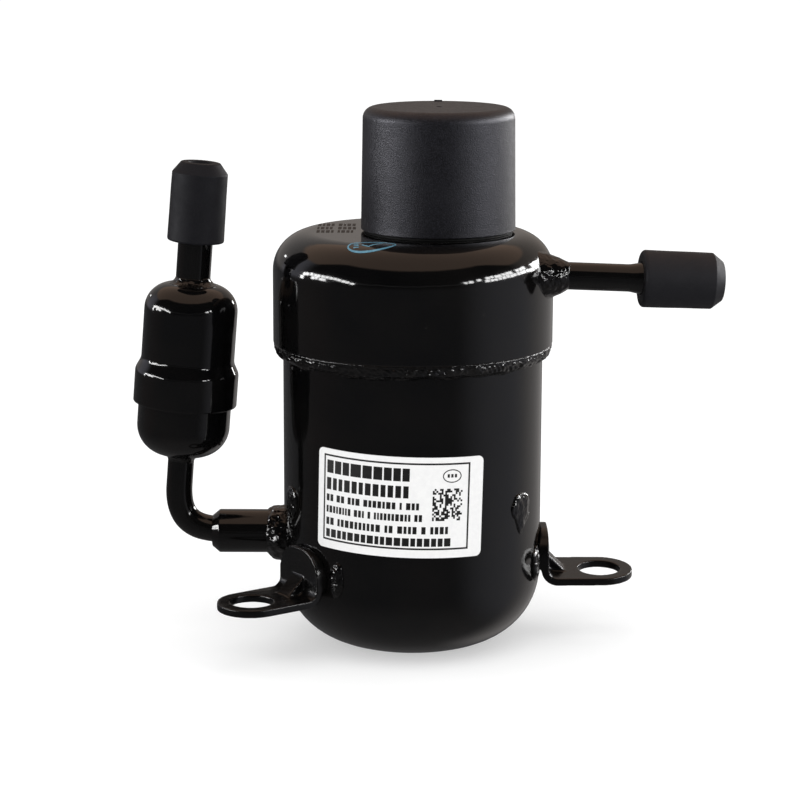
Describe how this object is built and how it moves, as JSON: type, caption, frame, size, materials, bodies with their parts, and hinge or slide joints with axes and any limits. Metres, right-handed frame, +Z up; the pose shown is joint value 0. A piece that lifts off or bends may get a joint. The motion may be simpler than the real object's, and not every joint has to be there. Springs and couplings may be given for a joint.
{
  "type": "refrigeration rotary compressor",
  "caption": "Hermetic rolling-piston refrigeration compressor: welded steel shell with feet, side accumulator, tube stubs with plugs, terminal cover, pump and motor inside.",
  "frame": {"origin": "centre of the flat disc under the shell", "axes": "+Z up along the shell's axis, +X towards the discharge tube, -X towards the suction accumulator, -Y towards the rating label"},
  "size_m": [0.1378, 0.0845, 0.1268],
  "materials": {
    "shell_paint": "thick glossy black enamel",
    "weld_paint": "black enamel over lumpy weld metal",
    "cover_plastic": "fine-grained black moulding",
    "plug_rubber": "smooth matt black rubber",
    "gasket_rubber": "black sheet rubber",
    "label_film": "white printed film",
    "cast_iron": "machined cast iron",
    "ground_steel": "ground hardened steel",
    "lamination_steel": "stacked electrical steel",
    "copper_wire": "enamelled copper wire",
    "insulator_plastic": "natural polyester",
    "magnet_ferrite": "sintered magnet",
    "glass_bead": "fused glass",
    "pin_plating": "plated pin",
    "lead_sleeve": "braided sleeve",
    "weight_brass": "machined brass",
    "copper_tube": "drawn copper",
    "zinc_steel": "zinc-plated steel"
  },
  "bodies": {
    "casing": {"lower_shell": "shell_paint", "upper_shell": "shell_paint", "girth_weld": "weld_paint", "plug_welds": "weld_paint", "foot_right": "shell_paint", "foot_back": "shell_paint", "foot_left": "shell_paint", "foot_welds": "weld_paint", "terminal_body": "zinc_steel", "terminal_pin_common": "pin_plating", "terminal_pin_left": "pin_plating", "terminal_pin_right": "pin_plating", "glass_seals": "glass_bead", "inner_connector": "insulator_plastic", "cover_fence": "zinc_steel", "cover_gasket": "gasket_rubber", "discharge_tube": "shell_paint", "discharge_braze": "weld_paint", "suction_stub": "shell_paint", "suction_weld": "weld_paint", "suction_liner": "copper_tube", "suction_elbow": "shell_paint", "accumulator_lower": "shell_paint", "accumulator_upper": "shell_paint", "accumulator_baffle": "zinc_steel", "inlet_screen": "weight_brass", "suction_inlet": "shell_paint", "accumulator_brazes": "weld_paint", "rating_label": "label_film", "pump_cylinder": "cast_iron", "main_bearing": "cast_iron", "sub_bearing": "cast_iron", "vane_spring": "zinc_steel", "valve_stop": "zinc_steel", "valve_rivet": "zinc_steel", "discharge_muffler": "zinc_steel", "pump_bolts": "zinc_steel", "stator_core": "lamination_steel", "stator_coils": "copper_wire", "slot_insulator_upper": "insulator_plastic", "slot_insulator_lower": "insulator_plastic", "motor_leads": "lead_sleeve"},
    "crank": {"crankshaft": "ground_steel", "oil_paddle": "zinc_steel", "rotor_core": "lamination_steel", "rotor_magnets": "magnet_ferrite", "rotor_end_plate_upper": "zinc_steel", "rotor_end_plate_lower": "zinc_steel", "balance_weight_upper": "weight_brass", "balance_weight_lower": "weight_brass", "rotor_rivets": "zinc_steel"},
    "roller": {"roller": "ground_steel"},
    "vane": {"vane": "ground_steel"},
    "valve": {"discharge_valve": "ground_steel"},
    "cover": {"terminal_cover": "cover_plastic"},
    "suction_plug": {"suction_plug": "plug_rubber"},
    "discharge_plug": {"discharge_plug": "plug_rubber"}
  },
  "joints": [
    {"name": "crank_spin", "type": "hinge", "parent": "casing", "child": "crank", "pos_m": [0, 0, 0.05], "axis": [0, 0, 1], "continuous": true},
    {"name": "roller_spin", "type": "hinge", "parent": "crank", "child": "roller", "pos_m": [-0.001, -0.00172, 0.0252], "axis": [0, 0, 1], "continuous": true},
    {"name": "vane_slide", "type": "slide", "parent": "casing", "child": "vane", "axis": [0.866, -0.5, 0], "range_m": [0, 0.002], "stiffness_N_per_m": 300, "springref_m": 0.006},
    {"name": "valve_lift", "type": "hinge", "parent": "casing", "child": "valve", "pos_m": [0.00504, 0.01552, 0.03523], "axis": [-0.309, 0.9511, 0], "range_deg": [0, 3], "stiffness_Nm_per_rad": 0.0005},
    {"name": "cover_lift", "type": "slide", "parent": "casing", "child": "cover", "axis": [0, 0, 1], "range_m": [0, 0.035]},
    {"name": "suction_plug_pull", "type": "slide", "parent": "casing", "child": "suction_plug", "axis": [0.0785, 0, 0.9969], "range_m": [0, 0.02]},
    {"name": "discharge_plug_pull", "type": "slide", "parent": "casing", "child": "discharge_plug", "axis": [0.9959, 0.0784, -0.0454], "range_m": [0, 0.025]}
  ],
  "couplings": [
    {"joint": "roller_spin", "follows": "crank_spin", "ratio": -1}
  ]
}
